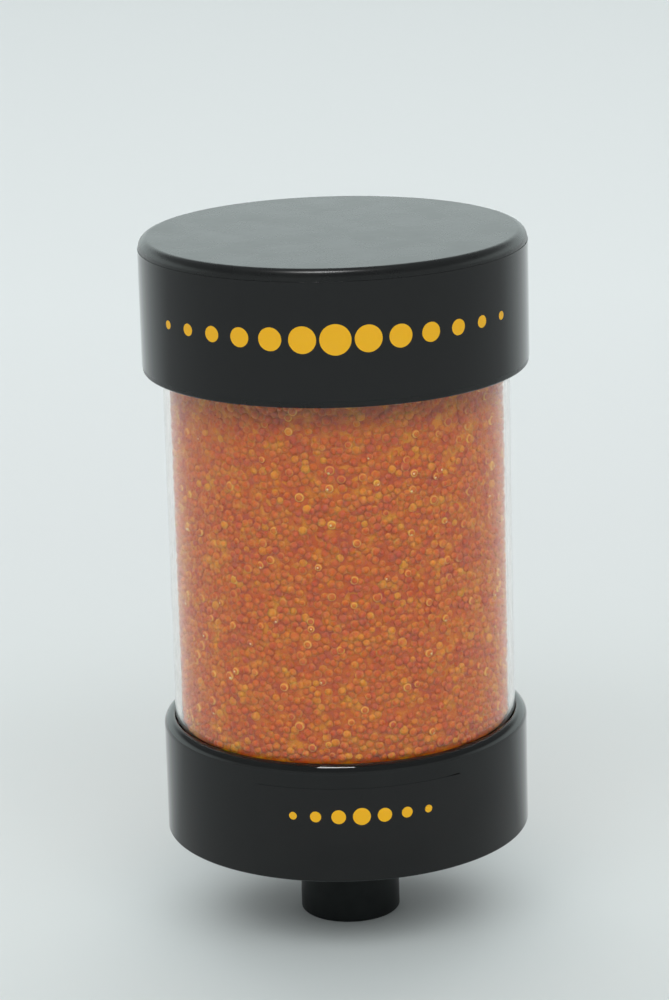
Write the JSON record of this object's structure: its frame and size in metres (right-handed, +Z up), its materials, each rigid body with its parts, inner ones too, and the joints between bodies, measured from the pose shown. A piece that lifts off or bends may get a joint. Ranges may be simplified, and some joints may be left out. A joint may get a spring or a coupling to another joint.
{
  "type": "silica gel breather",
  "caption": "Upright canister breather: black hood over a clear tube of orange drying beads, black base and a plain pipe stub below that plugs into a tank's vent socket.",
  "frame": {"origin": "centre of the stub's lower end, on the surface that the breather stands on", "axes": "+Z up the breather's axis from the stub to the hood; the front, with the base film, faces -Y; +X is to the right seen from the front"},
  "size_m": [0.127, 0.127, 0.2345],
  "materials": {
    "moulded_black": "satin gloss moulded ABS",
    "pipe_black": "satin extruded pipe",
    "label_film": "glossy black printed film",
    "clear_acrylic": "polished clear acrylic",
    "silica_gel": "translucent orange beads",
    "foam": "open-cell foam",
    "filter_frame": "moulded ring",
    "filter_cloth": "pleated filter cloth",
    "screen_cloth": "fine woven screen",
    "grille_black": "moulded",
    "seal_rubber": "moulded"
  },
  "bodies": {
    "root": {"port_stub": "pipe_black", "base": "moulded_black", "base_film": "label_film", "tube_gasket": "seal_rubber", "clear_tube": "clear_acrylic", "lower_grille": "grille_black", "lower_foam": "foam", "lower_filter_ring": "filter_frame", "lower_filter_pleats": "filter_cloth", "lower_screen": "screen_cloth", "gel_bed": "silica_gel", "upper_screen": "screen_cloth", "upper_filter_ring": "filter_frame", "upper_filter_pleats": "filter_cloth", "upper_foam": "foam", "upper_grille": "grille_black", "locking_ring": "grille_black", "hood": "moulded_black", "hood_film": "label_film"}
  },
  "joints": []
}
